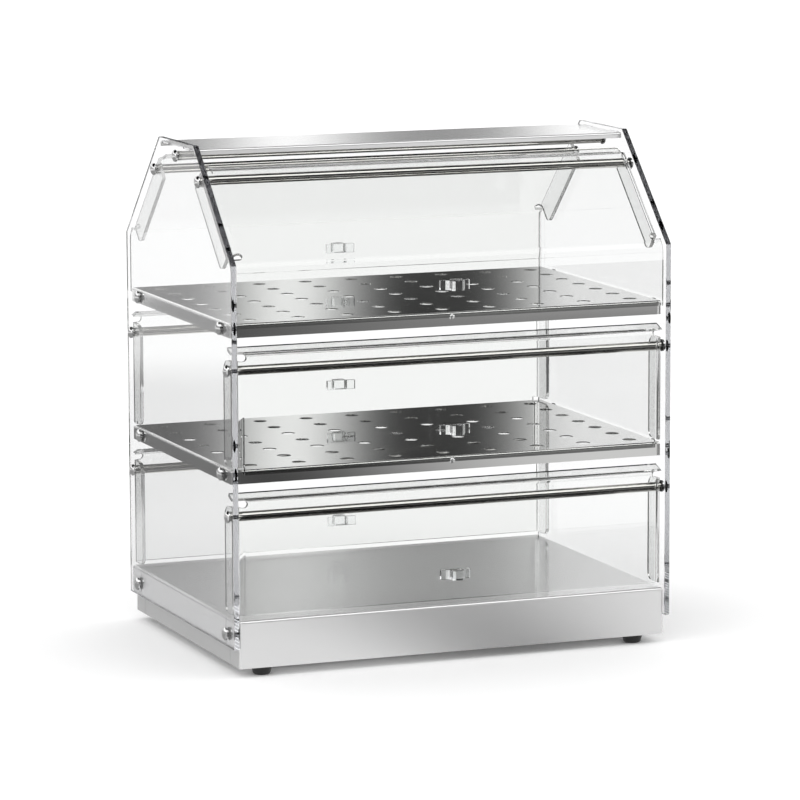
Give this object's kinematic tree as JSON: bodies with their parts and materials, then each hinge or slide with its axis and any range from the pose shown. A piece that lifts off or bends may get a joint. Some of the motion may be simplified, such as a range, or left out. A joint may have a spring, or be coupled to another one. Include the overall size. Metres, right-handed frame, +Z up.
{
  "type": "countertop display case",
  "caption": "Countertop display case: clear house-shaped side panels on a folded steel base, vented steel shelves, and clear flap doors hung on tie rods at front and rear.",
  "frame": {"origin": "on the table under the middle of the case", "axes": "+X to the right as seen from the front, +Y to the rear, +Z up; the front faces -Y"},
  "size_m": [0.509, 0.37, 0.55],
  "materials": {
    "panel_acrylic": "clear cast acrylic sheet with polished edges",
    "door_acrylic": "clear acrylic sheet, line bent",
    "knob_acrylic": "clear acrylic block, polished",
    "satin_steel": "satin stainless steel",
    "polished_steel": "mirror polished stainless steel",
    "hazy_steel": "stainless steel with a hazy polish",
    "rod_steel": "polished stainless steel",
    "fastener_steel": "polished steel",
    "foot_rubber": "moulded black rubber"
  },
  "bodies": {
    "case": {"left_side_panel": "panel_acrylic", "right_side_panel": "panel_acrylic", "base_pan": "satin_steel", "front_left_foot": "foot_rubber", "front_right_foot": "foot_rubber", "rear_left_foot": "foot_rubber", "rear_right_foot": "foot_rubber", "foot_screws": "fastener_steel", "foot_nuts": "fastener_steel", "lower_shelf": "polished_steel", "upper_shelf": "polished_steel", "shelf_studs": "fastener_steel", "roof_plate": "hazy_steel", "roof_tie_rod": "rod_steel", "rod_cap_screws": "fastener_steel", "base_screws": "fastener_steel", "base_nuts": "fastener_steel", "shelf_screws": "fastener_steel", "shelf_nuts": "fastener_steel", "front_lower_door_rod": "rod_steel", "rear_lower_door_rod": "rod_steel", "front_middle_door_rod": "rod_steel", "rear_middle_door_rod": "rod_steel", "front_upper_door_rod": "rod_steel", "rear_upper_door_rod": "rod_steel"},
    "front_lower_flap": {"front_lower_door": "door_acrylic", "front_lower_knob": "knob_acrylic"},
    "rear_lower_flap": {"rear_lower_door": "door_acrylic", "rear_lower_knob": "knob_acrylic"},
    "front_middle_flap": {"front_middle_door": "door_acrylic", "front_middle_knob": "knob_acrylic"},
    "rear_middle_flap": {"rear_middle_door": "door_acrylic", "rear_middle_knob": "knob_acrylic"},
    "front_upper_flap": {"front_upper_door": "door_acrylic", "front_upper_knob": "knob_acrylic"},
    "rear_upper_flap": {"rear_upper_door": "door_acrylic", "rear_upper_knob": "knob_acrylic"}
  },
  "joints": [
    {"name": "front_lower_door_hinge", "type": "hinge", "parent": "case", "child": "front_lower_flap", "pos_m": [0, -0.1595, 0.1705], "axis": [-1, 0, 0], "range_deg": [0, 130]},
    {"name": "rear_lower_door_hinge", "type": "hinge", "parent": "case", "child": "rear_lower_flap", "pos_m": [0, 0.1595, 0.1705], "axis": [1, 0, 0], "range_deg": [0, 130]},
    {"name": "front_middle_door_hinge", "type": "hinge", "parent": "case", "child": "front_middle_flap", "pos_m": [0, -0.1595, 0.3245], "axis": [-1, 0, 0], "range_deg": [0, 130]},
    {"name": "rear_middle_door_hinge", "type": "hinge", "parent": "case", "child": "rear_middle_flap", "pos_m": [0, 0.1595, 0.3245], "axis": [1, 0, 0], "range_deg": [0, 130]},
    {"name": "front_upper_door_hinge", "type": "hinge", "parent": "case", "child": "front_upper_flap", "pos_m": [0, -0.07325, 0.51339], "axis": [-1, 0, 0], "range_deg": [0, 135]},
    {"name": "rear_upper_door_hinge", "type": "hinge", "parent": "case", "child": "rear_upper_flap", "pos_m": [0, 0.07325, 0.51339], "axis": [1, 0, 0], "range_deg": [0, 135]}
  ]
}
